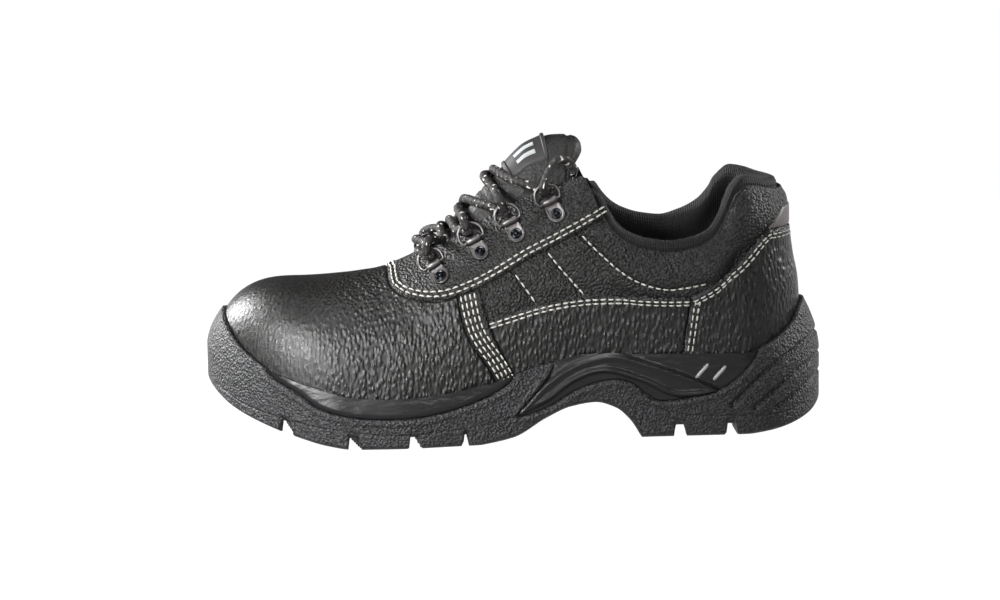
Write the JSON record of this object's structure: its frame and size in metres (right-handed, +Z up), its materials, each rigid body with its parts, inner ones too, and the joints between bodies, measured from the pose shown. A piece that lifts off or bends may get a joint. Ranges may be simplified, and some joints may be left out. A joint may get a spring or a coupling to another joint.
{
  "type": "safety sneaker",
  "caption": "Low black leather work shoe with a reinforced toe, laced through metal D-ring eyelets, on a thick cupped rubber sole with lugs.",
  "frame": {"origin": "on the floor, at the middle of the sole's length and width", "axes": "+Z up, -X to the toe, +X to the heel, -Y to the outer (lateral) side, +Y to the inner (medial) side"},
  "size_m": [0.3044, 0.1047, 0.1461],
  "materials": {
    "outsole_rubber": "coarse stippled black rubber",
    "midsole_foam": "smooth satin black foam skin",
    "footbed_foam": "matt textile over foam",
    "fine_leather": "fine-grained satin black leather",
    "pebbled_leather": "pebbled semi-gloss black leather",
    "reflective_fabric": "grey reflective woven tape",
    "collar_mesh": "ribbed black mesh over foam",
    "badge_rubber": "moulded matt rubber with light bars",
    "lace_cord": "round braided cord with light flecks",
    "eyelet_metal": "stamped gunmetal-plated steel"
  },
  "bodies": {
    "root": {"outsole": "outsole_rubber", "midsole": "midsole_foam", "insole": "footbed_foam", "upper": "fine_leather", "facing": "fine_leather", "vamp_strap_lateral": "fine_leather", "vamp_strap_medial": "fine_leather", "tongue": "fine_leather", "vamp": "pebbled_leather", "side_panel_lateral": "pebbled_leather", "side_panel_medial": "pebbled_leather", "counter": "pebbled_leather", "heel_tab": "reflective_fabric", "collar_lining": "collar_mesh", "tongue_badge": "badge_rubber", "lace_bar": "lace_cord", "lace_crossing_1": "lace_cord", "lace_crossing_2": "lace_cord", "lace_crossing_3": "lace_cord", "lace_end": "lace_cord", "eyelet_plate_lateral_1": "eyelet_metal", "eyelet_rivet_lateral_1": "eyelet_metal", "eyelet_ring_lateral_1": "eyelet_metal", "eyelet_plate_lateral_2": "eyelet_metal", "eyelet_rivet_lateral_2": "eyelet_metal", "eyelet_ring_lateral_2": "eyelet_metal", "eyelet_plate_lateral_3": "eyelet_metal", "eyelet_rivet_lateral_3": "eyelet_metal", "eyelet_ring_lateral_3": "eyelet_metal", "eyelet_plate_lateral_4": "eyelet_metal", "eyelet_rivet_lateral_4": "eyelet_metal", "eyelet_ring_lateral_4": "eyelet_metal", "eyelet_plate_medial_1": "eyelet_metal", "eyelet_rivet_medial_1": "eyelet_metal", "eyelet_ring_medial_1": "eyelet_metal", "eyelet_plate_medial_2": "eyelet_metal", "eyelet_rivet_medial_2": "eyelet_metal", "eyelet_ring_medial_2": "eyelet_metal", "eyelet_plate_medial_3": "eyelet_metal", "eyelet_rivet_medial_3": "eyelet_metal", "eyelet_ring_medial_3": "eyelet_metal", "eyelet_plate_medial_4": "eyelet_metal", "eyelet_rivet_medial_4": "eyelet_metal", "eyelet_ring_medial_4": "eyelet_metal"}
  },
  "joints": []
}
